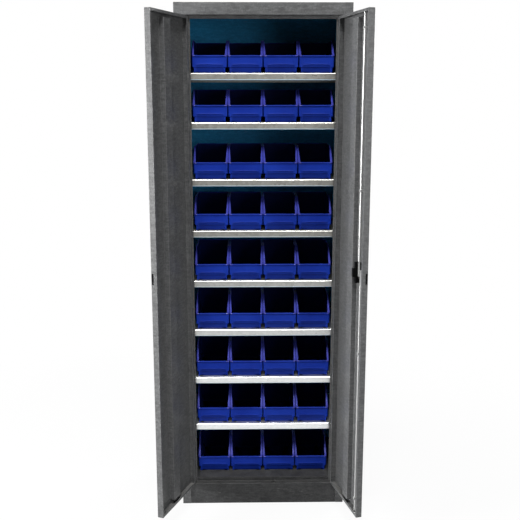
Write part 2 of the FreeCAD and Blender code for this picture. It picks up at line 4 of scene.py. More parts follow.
import bpy
import numpy as np
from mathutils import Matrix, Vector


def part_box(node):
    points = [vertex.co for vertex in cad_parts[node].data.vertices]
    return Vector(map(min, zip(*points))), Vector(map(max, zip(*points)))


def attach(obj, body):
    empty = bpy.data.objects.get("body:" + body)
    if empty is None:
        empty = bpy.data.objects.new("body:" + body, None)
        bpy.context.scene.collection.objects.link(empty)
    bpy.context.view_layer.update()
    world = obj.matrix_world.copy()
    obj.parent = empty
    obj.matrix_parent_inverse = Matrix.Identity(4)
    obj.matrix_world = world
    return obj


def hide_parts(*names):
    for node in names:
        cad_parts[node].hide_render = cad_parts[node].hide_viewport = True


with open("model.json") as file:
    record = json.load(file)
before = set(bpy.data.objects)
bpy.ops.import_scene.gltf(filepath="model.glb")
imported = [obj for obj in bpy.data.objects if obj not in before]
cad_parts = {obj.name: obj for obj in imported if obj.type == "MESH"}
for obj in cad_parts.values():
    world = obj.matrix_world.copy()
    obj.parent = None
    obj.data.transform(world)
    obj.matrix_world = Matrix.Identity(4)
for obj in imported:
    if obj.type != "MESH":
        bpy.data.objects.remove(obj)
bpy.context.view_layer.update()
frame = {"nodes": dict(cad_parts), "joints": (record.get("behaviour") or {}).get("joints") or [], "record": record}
nodes = frame["nodes"]
joints = {joint["name"]: joint for joint in frame["joints"]}
MM = 0.001
UP = np.array([0.0, 0.0, 1.0])
FULL_TURN = 2.0 * math.pi


# Meshes

SHARP_DEGREES = 40.0


def mesh_piece(name, points, faces, material, body, slot, shade=None):
    """A piece from its points and faces, smooth except where faces meet at more than the sharp angle.

    The shade, if there is one, is a number at each point that the material reads.
    """
    mesh = bpy.data.meshes.new(name)
    mesh.from_pydata(points.tolist(), [], faces)
    mesh.update()
    mesh.polygons.foreach_set("use_smooth", np.ones(len(mesh.polygons), dtype=bool))
    mesh.set_sharp_from_angle(angle=math.radians(SHARP_DEGREES))
    mesh.materials.append(material)
    if shade is not None:
        values = mesh.attributes.new("shade", "FLOAT", "POINT").data
        values.foreach_set("value", shade.astype(np.float32))
    piece = bpy.data.objects.new(name, mesh)
    bpy.context.scene.collection.objects.link(piece)
    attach(piece, body)
    return piece


def ring_faces(rings, count):
    """Quads between each ring of count points and the next, closed round, then a fan to a pole at each end.

    The first pole is point rings * count and the last is the one after it.
    """
    place = np.arange(count)
    following = (place + 1) % count
    lower = np.arange(rings - 1)[:, None] * count
    upper = lower + count
    quads = np.stack([lower + place, lower + following, upper + following, upper + place], axis=-1)
    first = np.stack([np.full(count, rings * count), following, place], axis=-1)
    last_ring = (rings - 1) * count
    last = np.stack([np.full(count, rings * count + 1), last_ring + place, last_ring + following], axis=-1)
    return quads.reshape(-1, 4).tolist() + first.tolist() + last.tolist()


def closed_rings(rings):
    """The points of a stack of rings followed by the middle of its first ring and of its last."""
    poles = np.stack([rings[0].mean(axis=0), rings[-1].mean(axis=0)])
    return np.concatenate([rings.reshape(-1, 3), poles])


def smooth_step(low, high, value):
    """Rises from 0 at low to 1 at high along 3 t squared minus 2 t cubed."""
    t = np.clip((value - low) / (high - low), 0.0, 1.0)
    return t * t * (3.0 - 2.0 * t)


# Material building

def colour(red, green, blue):
    """A colour with full alpha."""
    return (red, green, blue, 1.0)


def empty_material(name):
    """A node material with only its output, its node tree and the output's surface socket."""
    material = bpy.data.materials.new(name)
    material.use_nodes = True
    tree = material.node_tree
    tree.nodes.clear()
    return material, tree, tree.nodes.new("ShaderNodeOutputMaterial").inputs["Surface"]


def new_material(name):
    """A node material with its Principled shader joined to the output."""
    material, tree, surface = empty_material(name)
    shader = tree.nodes.new("ShaderNodeBsdfPrincipled")
    tree.links.new(shader.outputs["BSDF"], surface)
    return material, tree, shader


def set_input(tree, socket, value):
    """Links the value to the socket if it is a socket, or else stores it there."""
    if isinstance(value, bpy.types.NodeSocket):
        tree.links.new(value, socket)
    else:
        socket.default_value = value


def add_node(tree, kind, values=None, **settings):
    """A node with its settings and the values of its named or numbered inputs."""
    made = tree.nodes.new(kind)
    for key, value in settings.items():
        setattr(made, key, value)
    for key, value in (values or {}).items():
        set_input(tree, made.inputs[key], value)
    return made


def maths(tree, operation, first, second=0.0):
    """One Math node's result from two sockets or numbers."""
    return add_node(tree, "ShaderNodeMath", {0: first, 1: second}, operation=operation).outputs[0]


def product(tree, first, second):
    """Two sockets or numbers multiplied."""
    return maths(tree, "MULTIPLY", first, second)


def total(tree, first, second):
    """Two sockets or numbers added."""
    return maths(tree, "ADD", first, second)


def span(tree, value, from_low, from_high, to_low, to_high):
    """The value carried from one range to another, held at the ends."""
    ends = {"From Min": from_low, "From Max": from_high, "To Min": to_low, "To Max": to_high}
    return add_node(tree, "ShaderNodeMapRange", {"Value": value, **ends}).outputs["Result"]


def tint(tree, factor, first, second):
    """A colour between two colours or colour sockets."""
    made = add_node(tree, "ShaderNodeMix", data_type="RGBA")
    for index, value in ((0, factor), (6, first), (7, second)):
        set_input(tree, made.inputs[index], value)
    return made.outputs[2]


def noise(tree, place, scale, detail, distortion=0.0):
    """The outputs of a noise over the place."""
    values = {"Vector": place, "Scale": scale, "Detail": detail, "Distortion": distortion}
    return add_node(tree, "ShaderNodeTexNoise", values).outputs


def axes(tree, vector):
    """The X, Y and Z of a vector."""
    return add_node(tree, "ShaderNodeSeparateXYZ", {"Vector": vector}).outputs


def surface_normal(tree):
    """The direction that the surface looks in."""
    return tree.nodes.new("ShaderNodeNewGeometry").outputs["Normal"]


def object_place(tree, scale=(1.0, 1.0, 1.0)):
    """The point of the surface in the cabinet's own frame, stretched along each axis."""
    place = tree.nodes.new("ShaderNodeTexCoord").outputs["Object"]
    return add_node(tree, "ShaderNodeMapping", {"Vector": place, "Scale": scale}).outputs["Vector"]


def new_group(name, inputs, outputs):
    """An empty shader group with float outputs and one Place vector besides its float inputs."""
    group = bpy.data.node_groups.new(name, "ShaderNodeTree")
    group.interface.new_socket("Place", in_out="INPUT", socket_type="NodeSocketVector")
    for key, value in inputs.items():
        socket = group.interface.new_socket(key, in_out="INPUT", socket_type="NodeSocketFloat")
        socket.default_value = value
    for key in outputs:
        group.interface.new_socket(key, in_out="OUTPUT", socket_type="NodeSocketFloat")
    given = group.nodes.new("NodeGroupInput").outputs
    return group, given, group.nodes.new("NodeGroupOutput").inputs


def use_group(tree, group, place, **values):
    """One placing of a group, with its own values."""
    return add_node(tree, "ShaderNodeGroup", {"Place": place, **values}, node_tree=group).outputs


def dress_shader(tree, shader, base, rough, height, strength, distance):
    """Joins a colour, a roughness and a bump of the given strength and distance to a shader."""
    tree.links.new(base, shader.inputs["Base Color"])
    tree.links.new(rough, shader.inputs["Roughness"])
    bump = add_node(tree, "ShaderNodeBump", {"Height": height, "Strength": strength, "Distance": distance})
    tree.links.new(bump.outputs["Normal"], shader.inputs["Normal"])


# Effects that materials share

CELL_WARP = (0.004, 0.004, 0.004)  # how far the noise pushes the hammered cells
EDGE_RADIUS = 0.0025


def hammered_group():
    """Hammered enamel: rounded cells with raised rims, broken by noise, and a slower mottling of tone."""
    group, given, result = new_group("hammered_enamel", {"Cells": 170.0}, ("Height", "Tone", "Mottle"))
    place = given["Place"]
    warp = noise(group, place, 90.0, 2.0)["Color"]
    shift = add_node(group, "ShaderNodeVectorMath", {0: warp, 1: CELL_WARP}, operation="MULTIPLY").outputs[0]
    moved = add_node(group, "ShaderNodeVectorMath", {0: place, 1: shift}, operation="ADD").outputs[0]
    cells = add_node(group, "ShaderNodeTexVoronoi", {"Vector": moved, "Scale": given["Cells"]})
    hollow = cells.outputs["Distance"]
    fine = noise(group, place, 420.0, 3.0)["Fac"]
    slow = noise(group, place, 26.0, 5.0)["Fac"]
    rim = span(group, hollow, 0.1, 0.75, 0.0, 1.0)
    tone = total(group, product(group, rim, 0.55), product(group, fine, 0.45))
    group.links.new(total(group, hollow, product(group, fine, 0.35)), result["Height"])
    group.links.new(tone, result["Tone"])
    group.links.new(span(group, slow, 0.3, 0.7, 0.0, 1.0), result["Mottle"])
    return group


def scuff_group():
    """Scuffs: thin marks where a twisted noise passes a level, kept to patches of a slower noise."""
    group, given, result = new_group("scuffs", {"Amount": 0.5}, ("Scuff",))
    marks = noise(group, given["Place"], 60.0, 6.0, 0.8)["Fac"]
    patch = noise(group, given["Place"], 5.0, 2.0)["Fac"]
    thin = span(group, marks, 0.62, 0.72, 0.0, 1.0)
    near = span(group, patch, 0.48, 0.68, 0.0, 1.0)
    group.links.new(product(group, product(group, thin, near), given["Amount"]), result["Scuff"])
    return group


def dust_group():
    """Dust: settles on faces that look up, thicker where a slow noise is high."""
    group, given, result = new_group("settled_dust", {"Amount": 0.3}, ("Dust",))
    drift = noise(group, given["Place"], 14.0, 6.0)["Fac"]
    level = span(group, axes(group, surface_normal(group))["Z"], 0.35, 0.95, 0.0, 1.0)
    thick = span(group, drift, 0.35, 0.75, 0.3, 1.0)
    group.links.new(product(group, product(group, level, thick), given["Amount"]), result["Dust"])
    return group


def edge_group():
    """Worn edges with a painted edge highlight: where a rounded normal turns away from the true one, broken up by
    noise.
    """
    group, given, result = new_group("worn_and_highlighted_edges", {"Amount": 0.5}, ("Worn_and_highlit",))
    rounded = add_node(group, "ShaderNodeBevel", {"Radius": EDGE_RADIUS}, samples=4).outputs["Normal"]
    both = {0: rounded, 1: surface_normal(group)}
    agreement = add_node(group, "ShaderNodeVectorMath", both, operation="DOT_PRODUCT").outputs["Value"]
    patch = noise(group, given["Place"], 45.0, 5.0)["Fac"]
    edge_mask = span(group, agreement, 0.97, 0.8, 0.0, 1.0)
    broken = span(group, patch, 0.35, 0.6, 0.35, 1.0)
    group.links.new(product(group, product(group, edge_mask, broken), given["Amount"]), result["Worn_and_highlit"])
    return group


hammered = hammered_group()
edges = edge_group()
scuffs = scuff_group()
dust = dust_group()


# Finishes

GREYS = (colour(0.03, 0.0305, 0.031), colour(0.076, 0.077, 0.078))
# painted light: the back's inner face is a bright blue so that, in its shade, it shows the bluish light the bins
# throw back on it
PAINTED_BOUNCE_BLUES = (colour(0.01, 0.15, 0.32), colour(0.024, 0.25, 0.5))
# painted shade: the plinth and floor panel get darker greys for the dimmer light low on the cabinet
PAINTED_SHADE_GREYS = (colour(0.0105, 0.0105, 0.011), colour(0.031, 0.0315, 0.032))
HINGE_GREYS = (colour(0.03, 0.03, 0.03), colour(0.07, 0.07, 0.07))
RUBBED_PAINT = colour(0.2, 0.2, 0.2)
# worn edges: a lighter grey that is partly real worn paint and partly a painted edge highlight
WORN_AND_HIGHLIGHTED_EDGE = colour(0.24, 0.24, 0.24)
PAINT_DUST = colour(0.32, 0.31, 0.29)
# painted reflection: the shelves' sheet is far lighter low down, standing in for the bright floor reflected in it
UPPER_SHEET = (colour(0.33, 0.325, 0.3), colour(0.41, 0.405, 0.375))
FLOOR_REFLECTION_SHEET = (colour(0.78, 0.8, 0.8), colour(0.85, 0.87, 0.87))
# painted reflection: the bluish shine on the folds that look down
FOLD_REFLECTION = colour(0.66, 0.86, 0.97)
DULL_SCUFF = colour(0.3, 0.31, 0.32)
SHELF_DUST = colour(0.45, 0.44, 0.41)
ZINC_TONES = (colour(0.3, 0.305, 0.305), colour(0.4, 0.4, 0.39))
ZINC_SCUFF = colour(0.5, 0.49, 0.46)
BIN_BLUES = (colour(0.0034, 0.0145, 0.16), colour(0.0058, 0.0225, 0.212))
# the bins' dust colour, also the colour of the painted highlight on the rim
BIN_DUST_AND_HIGHLIGHT = colour(0.09, 0.07, 0.27)
MOULDING_BLACKS = (colour(0.0015, 0.0015, 0.0015), colour(0.003, 0.003, 0.003))
MOULDING_DUST = colour(0.015, 0.015, 0.015)
BLACK = colour(0.0, 0.0, 0.0)
FULL_REFLECTION_BELOW = 0.45  # the shelves carry the full painted floor reflection up to this height
NO_REFLECTION_ABOVE = 1.1  # and none of it from this height up


def enamel(name, dark, light, gloss=0.4, dust_amount=0.25, rear=None):
    """Hammered enamel on sheet steel: cells and level streaks set the tone under worn edges with a painted edge
    highlight, scuffs and dust.

    The two rear colours, if given, take the place of the others on faces that look to the rear.
    """
    material, tree, shader = new_material(name)
    place = object_place(tree)
    skin = use_group(tree, hammered, place)
    scuff = use_group(tree, scuffs, object_place(tree, (1.0, 1.0, 3.0)), Amount=0.6)["Scuff"]
    settled = use_group(tree, dust, place, Amount=dust_amount)["Dust"]
    worn_and_highlighted = use_group(tree, edges, place, Amount=0.15)["Worn_and_highlit"]
    streaks = noise(tree, object_place(tree, (40.0, 40.0, 140.0)), 1.0, 4.0)["Fac"]
    tone = product(tree, skin["Tone"], span(tree, streaks, 0.35, 0.65, 0.35, 1.5))
    if rear is not None:
        behind = span(tree, axes(tree, surface_normal(tree))["Y"], -0.1, 0.1, 0.0, 1.0)
        dark = tint(tree, behind, dark, rear[0])
        light = tint(tree, behind, light, rear[1])
    base = tint(tree, tone, dark, light)
    cloudy = tint(tree, product(tree, skin["Mottle"], 0.35), base, light)
    rubbed = tint(tree, product(tree, scuff, 0.4), cloudy, RUBBED_PAINT)
    # edges lightened: partly real worn paint, partly a painted edge highlight
    dusty = tint(tree, settled, tint(tree, worn_and_highlighted, rubbed, WORN_AND_HIGHLIGHTED_EDGE), PAINT_DUST)
    rough = span(tree, skin["Tone"], 0.0, 1.0, gloss + 0.08, gloss - 0.05)
    rough = total(tree, rough, product(tree, scuff, 0.15))
    rough = total(tree, rough, product(tree, settled, 0.8))
    shader.inputs["Specular IOR Level"].default_value = 0.15
    dress_shader(tree, shader, dusty, rough, skin["Height"], 0.35, 0.0005)
    return material


def galvanised():
    """Galvanised sheet: spangle cells that differ in tone and gloss, roll lines along it and dull scuffs.

    It is painted lighter near the floor, a painted reflection of the floor, and the folds that look down get a
    painted bluish reflection.
    """
    material, tree, shader = new_material("galvanised_sheet")
    place = object_place(tree)
    cells = add_node(tree, "ShaderNodeTexVoronoi", {"Vector": place, "Scale": 95.0})
    spangle = add_node(tree, "ShaderNodeSeparateColor", {"Color": cells.outputs["Color"]}).outputs
    lines = noise(tree, object_place(tree, (6.0, 900.0, 900.0)), 1.0, 3.0)["Fac"]
    scuff = use_group(tree, scuffs, object_place(tree, (0.4, 2.0, 2.0)), Amount=0.8)["Scuff"]
    settled = use_group(tree, dust, place, Amount=0.3)["Dust"]
    # painted reflection of the floor, fading out with height
    low = span(tree, axes(tree, place)["Z"], FULL_REFLECTION_BELOW, NO_REFLECTION_ABOVE, 1.0, 0.0)
    # painted reflection on faces that look down
    down_fold_reflection = span(tree, axes(tree, surface_normal(tree))["Z"], -0.15, -0.5, 0.0, 1.0)
    upper_tone = tint(tree, spangle["Red"], *UPPER_SHEET)
    reflecting_tone = tint(tree, spangle["Red"], *FLOOR_REFLECTION_SHEET)
    base = tint(tree, down_fold_reflection, tint(tree, low, upper_tone, reflecting_tone), FOLD_REFLECTION)
    dull = tint(tree, product(tree, scuff, 0.3), base, DULL_SCUFF)
    dusty = tint(tree, settled, dull, SHELF_DUST)
    rough = span(tree, spangle["Green"], 0.0, 1.0, 0.24, 0.3)
    rough = total(tree, rough, product(tree, lines, 0.08))
    rough = total(tree, rough, product(tree, settled, 0.5))
    shader.inputs["Metallic"].default_value = 0.92
    dress_shader(tree, shader, dusty, rough, lines, 0.03, 0.0001)
    return material


def zinc_plate():
    """Bright zinc plate: drawn lines along the rods and a slight cloudiness."""
    material, tree, shader = new_material("bright_zinc")
    lines = noise(tree, object_place(tree, (1600.0, 1600.0, 10.0)), 1.0, 3.0)["Fac"]
    cloud = noise(tree, object_place(tree), 35.0, 4.0)["Fac"]
    scuff = use_group(tree, scuffs, object_place(tree, (1.0, 1.0, 0.5)), Amount=0.6)["Scuff"]
    base = tint(tree, product(tree, scuff, 0.5), tint(tree, cloud, *ZINC_TONES), ZINC_SCUFF)
    rough = span(tree, lines, 0.25, 0.75, 0.36, 0.5)
    shader.inputs["Metallic"].default_value = 0.7
    dress_shader(tree, shader, base, rough, lines, 0.15, 0.0001)
    return material


def moulded_plastic(name, deep, bright, gloss, sparkle, grain, dust_and_highlight_colour, dust_amount):
    """Moulded plastic: fine grain, slow tone drift, scuffs and settled dust.

    The piece's shade is above 0 where painted shade darkens it and below 0 where the piece is glossier and carries
    a painted highlight.
    """
    material, tree, shader = new_material(name)
    place = object_place(tree)
    drift = noise(tree, place, 9.0, 3.0)["Fac"]
    fine = noise(tree, place, grain, 2.0)["Fac"]
    scuff = use_group(tree, scuffs, object_place(tree, (0.8, 0.8, 1.6)), Amount=0.7)["Scuff"]
    settled = use_group(tree, dust, place, Amount=dust_amount)["Dust"]
    shade = add_node(tree, "ShaderNodeAttribute", attribute_name="shade").outputs["Fac"]
    polish_and_highlight = span(tree, shade, 0.0, -1.0, 0.0, 1.0)
    base = tint(tree, span(tree, drift, 0.3, 0.7, 0.0, 1.0), deep, bright)
    # painted shade: a positive shade darkens the colour towards black
    painted_shade_colour = tint(tree, shade, base, tint(tree, 0.9, base, BLACK))
    # painted highlight: a negative shade lightens the colour towards the dust colour; it also adds a coat and
    # lowers the roughness
    painted_highlight = tint(tree, product(tree, polish_and_highlight, 0.25), painted_shade_colour, dust_and_highlight_colour)
    rubbed = tint(tree, product(tree, scuff, 0.12), painted_highlight, dust_and_highlight_colour)
    dusty = tint(tree, settled, rubbed, dust_and_highlight_colour)
    rough = span(tree, fine, 0.3, 0.7, gloss - 0.04, gloss + 0.06)
    rough = total(tree, rough, product(tree, scuff, 0.2))
    rough = maths(tree, "SUBTRACT", rough, product(tree, polish_and_highlight, 0.2))
    rough = total(tree, rough, product(tree, settled, 0.4))
    shader.inputs["Specular IOR Level"].default_value = sparkle
    shader.inputs["Coat Roughness"].default_value = 0.26
    tree.links.new(product(tree, polish_and_highlight, 0.45), shader.inputs["Coat Weight"])
    dress_shader(tree, shader, dusty, rough, fine, 0.2, 0.0002)
    return material


grey_enamel = enamel("grey_hammered_enamel", *GREYS)
# painted light: blue on the back's faces that look forward, the cabinet's grey on those that look to the rear
painted_bounce_enamel = enamel("painted_bounce_back_enamel", *PAINTED_BOUNCE_BLUES, gloss=0.5, rear=GREYS)
# painted shade: a darker copy of the grey enamel for the plinth and the floor panel
painted_shade_enamel = enamel("painted_shade_base_enamel", *PAINTED_SHADE_GREYS, dust_amount=0.06)
bright_zinc = zinc_plate()
bin_plastic = moulded_plastic(
    "blue_bin_plastic",
    *BIN_BLUES,
    gloss=0.45,
    sparkle=0.05,
    grain=900.0,
    dust_and_highlight_colour=BIN_DUST_AND_HIGHLIGHT,
    dust_amount=0.06,
)
black_plastic = moulded_plastic(
    "black_moulding",
    *MOULDING_BLACKS,
    gloss=0.5,
    sparkle=0.02,
    grain=1100.0,
    dust_and_highlight_colour=MOULDING_DUST,
    dust_amount=0.08,
)
finish_of_slot = {
    "grey_paint": grey_enamel,
    "hinge_steel": enamel("hinge_enamel", *HINGE_GREYS),
    "galvanised_steel": galvanised(),
    "zinc_plate": bright_zinc,
    "black_plastic": black_plastic,
    "bin_blue": bin_plastic,
}
finish_of_node = {"back_panel": painted_bounce_enamel, "plinth": painted_shade_enamel, "floor_panel": painted_shade_enamel}
for subpart in frame["record"]["subparts"]:
    dressed = nodes[subpart["node"]].data
    dressed.materials.clear()
    dressed.materials.append(finish_of_node.get(subpart["node"], finish_of_slot[subpart["material_slot"]]))


# Bins, in millimetres from the middle of the front wall's foot

BIN_BODY = 63.5  # half the width of the walls
BIN_LENGTH = 235.0
BIN_HEIGHT = 126.0
BIN_LIP = 62.0
BIN_SLOPE = 72.0
BIN_WALL = 2.2
BIN_RIM = 4.0
BIN_RIM_DEPTH = 4.5
BIN_FOOT = 7.0
BIN_FOOT_HEIGHT = 21.0
BIN_DRAFT = 2.6  # how far the side walls lean out from foot to rim
BIN_GUSSET = 3.5  # extra width of the rim at the foot of its slope
BIN_BROAD = 2.0  # and all along it
BIN_CORNER = 4.0
RIM_SOFTNESS = 7.0  # how far the corners of the rim's slope are eased
FLARE_END = 16.0  # how far back the sides flare out to the front plate
SLOPE_GRID_END = 84.0  # the sides have close points up to here
REAR_GRID_START = 100.0  # and wide ones from here
GRIP_EDGE = 31.0
GRIP_BEND = 0.0005  # how fast the grip edge drops towards its ends
HOLLOW_HALF = 46.0  # half the width of the hollow
HOLLOW_SLANT = 0.12  # how fast the hollow narrows upwards and deepens downwards
PANEL_HALF = 44.5  # half the width of the label panel
PANEL_LOW = 36.0
PANEL_HIGH = 53.0
PANEL_DEPTH = 0.3
# painted shade: darkening in the hollow under the grip edge and all over a bin's inside, where shade falls
HOLLOW_PAINTED_SHADE = 0.34
INSIDE_PAINTED_SHADE = 0.85
POLISH_AND_HIGHLIGHT_WIDTH = 8.0  # the rim is glossier and painted lighter, a painted highlight, this far in from the walls' outer faces
INNER_RINGS = 17  # the rings of a bin's inside, below its rim
POLISH_AND_HIGHLIGHT_RINGS = 11  # the rim's rings above its underside
FRONT_LEVELS = (  # heights of the rings up the front, close together at the grip edge and the panel
    22.3, 24.0, 26.0, 27.6, 28.6, 29.3, 29.9, 30.5, 31.1, 31.7, 32.4, 33.2, 34.2, 35.4, 36.1, 36.7, 37.4,
    42.0, 47.0, 52.0, 53.0, 53.6, 54.3, 56.0, 57.1,
)
RIM_OUTSIDE = (  # drop below the top and push out from the wall
    (4.5, 0.5), (4.5, 3.3), (4.3, 3.8), (3.8, 4.0), (2.4, 4.0), (1.4, 3.7), (0.6, 2.9), (0.0, 1.5),
)
RIM_INSIDE = ((0.0, -1.2), (0.15, -1.8), (0.6, -2.15), (1.6, -2.2), (2.2, -2.2))
INSIDE_SHARES = (0.93, 0.6, 0.35, 0.28, 0.22, 0.16, 0.1)  # of the height from the ledge inside to the rim


def bin_outline():
    """Points round a bin's walls and their outward directions: four straight runs and four quarter circles."""
    reach = BIN_BODY - BIN_CORNER
    near = BIN_CORNER
    far = BIN_LENGTH - BIN_CORNER
    front = np.linspace(-reach, reach, 56)
    right = np.concatenate([np.linspace(near, SLOPE_GRID_END, 26), np.linspace(REAR_GRID_START, far, 7)])
    rear = np.linspace(reach, -reach, 12)
    turn = np.radians(np.linspace(-90.0, 0.0, 5))[1:-1]
    runs = [
        (front, np.zeros_like(front), np.zeros_like(front), -np.ones_like(front)),
        (reach + BIN_CORNER * np.cos(turn), near + BIN_CORNER * np.sin(turn), np.cos(turn), np.sin(turn)),
        (np.full_like(right, BIN_BODY), right, np.ones_like(right), np.zeros_like(right)),
        (reach - BIN_CORNER * np.sin(turn), far + BIN_CORNER * np.cos(turn), -np.sin(turn), np.cos(turn)),
        (rear, np.full_like(rear, BIN_LENGTH), np.zeros_like(rear), np.ones_like(rear)),
        (-reach - BIN_CORNER * np.cos(turn), far - BIN_CORNER * np.sin(turn), -np.cos(turn), -np.sin(turn)),
        (np.full_like(right, -BIN_BODY), right[::-1], -np.ones_like(right), np.zeros_like(right)),
        (-reach + BIN_CORNER * np.sin(turn), near - BIN_CORNER * np.cos(turn), np.sin(turn), -np.cos(turn)),
    ]
    x, y, out_x, out_y = (np.concatenate(column) for column in zip(*runs))
    return np.stack([x, y], axis=-1), np.stack([out_x, out_y], axis=-1)


def eased_ramp(distance):
    """Nought before the start and the distance after it, rounded off by a hyperbola near the start."""
    return 0.5 * (distance + np.sqrt(distance * distance + RIM_SOFTNESS * RIM_SOFTNESS))


def rim_height(y):
    """The rim's height: level at the lip, a straight rise along the slope, level behind, eased corners."""
    rise = (BIN_HEIGHT - BIN_LIP) / BIN_SLOPE
    return BIN_LIP + rise * (eased_ramp(y) - eased_ramp(y - BIN_SLOPE))


def grip_edge(x):
    """The height of the edge above the hollow, which drops by the bend times x squared towards its ends."""
    return GRIP_EDGE - GRIP_BEND * x * x


def hollow_shade(x, z):
    """Painted shade in the hollow of a bin's front: full below the grip edge, fading at the hollow's ends."""
    wide = 1.0 - smooth_step(HOLLOW_HALF, HOLLOW_HALF + 12.0, np.abs(x))
    return wide * smooth_step(0.0, 2.5, grip_edge(x) - z)


def front_relief(x, z):
    """How far a bin's front stands out: the grip edge's ledge, less the hollow under it and the label panel.

    The hollow's depth is a small step plus the slant times the distance below the grip edge.
    """
    above = z - grip_edge(x)
    slanted = np.abs(x) + HOLLOW_SLANT * (z - 30.0)
    wide = 1.0 - smooth_step(HOLLOW_HALF, HOLLOW_HALF + 10.0, slanted)
    hollow = wide * (0.8 * smooth_step(0.0, 1.2, -above) + HOLLOW_SLANT * np.clip(-above, 0.0, None))
    ledge = wide * smooth_step(-1.0, 0.4, above) * (1.0 - smooth_step(1.2, 2.6, above))
    panel = 1.0 - smooth_step(PANEL_HALF, PANEL_HALF + 1.5, np.abs(x))
    panel *= smooth_step(PANEL_LOW, PANEL_LOW + 1.2, z)
    panel *= 1.0 - smooth_step(PANEL_HIGH, PANEL_HIGH + 1.2, z)
    return ledge - hollow - PANEL_DEPTH * panel


def bin_rings():
    """A bin as one closed skin: rings run up the outside, over the rim and down the inside.

    Each ring is the outline pushed along its outward direction. The push differs between the sides, the
    front and the back, and the rings above the foot share out the height between the foot and the rim.
    Near the front the sides flare out to a full-width front plate, and the rim's inner edge widens there.
    """
    outline, outward = bin_outline()
    depth = outline[:, 1]
    top = rim_height(depth)
    side = outward[:, 0] ** 2
    ahead = np.where(outward[:, 1] < 0, outward[:, 1] ** 2, 0.0)
    behind = np.where(outward[:, 1] > 0, outward[:, 1] ** 2, 0.0)
    flare = 1.0 - smooth_step(3.0, FLARE_END, depth)
    gusset = BIN_BROAD + BIN_GUSSET * (1.0 - smooth_step(0.0, BIN_SLOPE, depth))
    gusset *= smooth_step(-1.0, 2.0, depth)

    def ring(height, side_push, front_push, back_push):
        """The outline pushed by each side's own push, at the given height."""
        push = side * side_push + ahead * front_push + behind * back_push
        flat = outline + outward * push[:, None]
        return np.concatenate([flat, np.broadcast_to(height, top.shape)[:, None]], axis=1)

    foot = -BIN_FOOT
    wall = -BIN_WALL
    rings = [
        ring(0.0, foot - 12.0, -15.0, -12.0),
        ring(0.0, foot - 1.2, -4.2, -1.2),
        ring(0.35, foot - 0.35, -3.4, -0.35),
        ring(1.2, foot, -3.0, 0.0),
        ring(10.0, foot, -2.6, 0.0),
        ring(18.5, foot, -2.2, 0.0),
        ring(20.2, foot + 0.5, -1.8, 0.0),
        ring(BIN_FOOT_HEIGHT, foot + 2.0, -1.0, 0.0),
        ring(BIN_FOOT_HEIGHT, -1.5 + 3.0 * flare, -0.4, 0.0),
        ring(BIN_FOOT_HEIGHT + 0.4, -0.4 + 3.0 * flare, 0.0, 0.0),
    ]
    under_lip = BIN_LIP - BIN_RIM_DEPTH
    under_rim = top - BIN_RIM_DEPTH
    for level in FRONT_LEVELS:
        share = (level - BIN_FOOT_HEIGHT) / (under_lip - BIN_FOOT_HEIGHT)
        spread = np.maximum(flare * (2.6 + 0.9 * share), BIN_DRAFT * share)
        rings.append(ring(BIN_FOOT_HEIGHT + share * (under_rim - BIN_FOOT_HEIGHT), spread, 0.0, 0.0))
    for drop, push in RIM_OUTSIDE:
        rings.append(ring(top - drop, np.maximum(push, np.maximum(3.4 * flare, BIN_DRAFT)), push, push))
    for drop, push in RIM_INSIDE:
        rings.append(ring(top - drop, push + BIN_DRAFT - gusset, push, push))
    inner = BIN_FOOT_HEIGHT + BIN_WALL
    rings.append(ring(top - 2.6, wall + BIN_DRAFT - 0.5 * gusset, wall, wall))
    for share in INSIDE_SHARES:
        rings.append(ring(inner + share * (top - 1.2 - inner), wall + BIN_DRAFT * share, wall, wall))
    rings += [
        ring(inner + 0.6, wall - 0.3, wall, wall),
        ring(inner, wall - 1.0, wall, wall),
        ring(inner - 0.2, wall + foot + 1.0, wall - 1.0, wall),
        ring(inner - 1.2, wall + foot, wall - 2.0, wall),
        ring(12.0, wall + foot, wall - 2.5, wall),
        ring(4.2, wall + foot, wall - 3.0, wall),
        ring(2.8, wall + foot - 0.6, wall - 3.6, wall - 0.6),
        ring(BIN_WALL, wall + foot - 2.0, wall - 5.0, wall - 2.0),
        ring(BIN_WALL, wall + foot - 14.0, wall - 17.0, wall - 14.0),
    ]
    rings = np.stack(rings)
    rings[..., 1] -= front_relief(rings[..., 0], rings[..., 2]) * ahead
    return rings


def bin_shades(points, rings, count):
    """Painted shade in the front's hollow and on the inside, and a glossier rim with a painted highlight beside
    the walls.
    """
    x, y, z = points.T
    shade = HOLLOW_PAINTED_SHADE * hollow_shade(x, z) * (y < BIN_LENGTH / 2)
    inner_start = (rings - INNER_RINGS) * count
    rim = slice(inner_start - POLISH_AND_HIGHLIGHT_RINGS * count, inner_start)
    shade[rim] = -1.0 * (np.abs(x[rim]) > BIN_BODY - POLISH_AND_HIGHLIGHT_WIDTH)
    shade[inner_start:-2] = INSIDE_PAINTED_SHADE
    shade[-1] = INSIDE_PAINTED_SHADE
    return shade


bin_pattern = bin_rings()
bin_faces = ring_faces(*bin_pattern.shape[:2])
bin_points = closed_rings(bin_pattern)
bin_shade = bin_shades(bin_points, *bin_pattern.shape[:2])
for name in sorted(node for node in nodes if node.startswith("bin_row")):
    low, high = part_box(name)
    corner = np.array([(low.x + high.x) / 2, low.y + BIN_RIM * MM, low.z])
    shape = bin_points * MM + corner
    piece = mesh_piece(name + "_moulding", shape, bin_faces, bin_plastic, name, "bin_blue", shade=bin_shade)
    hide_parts(name)


# Door edges

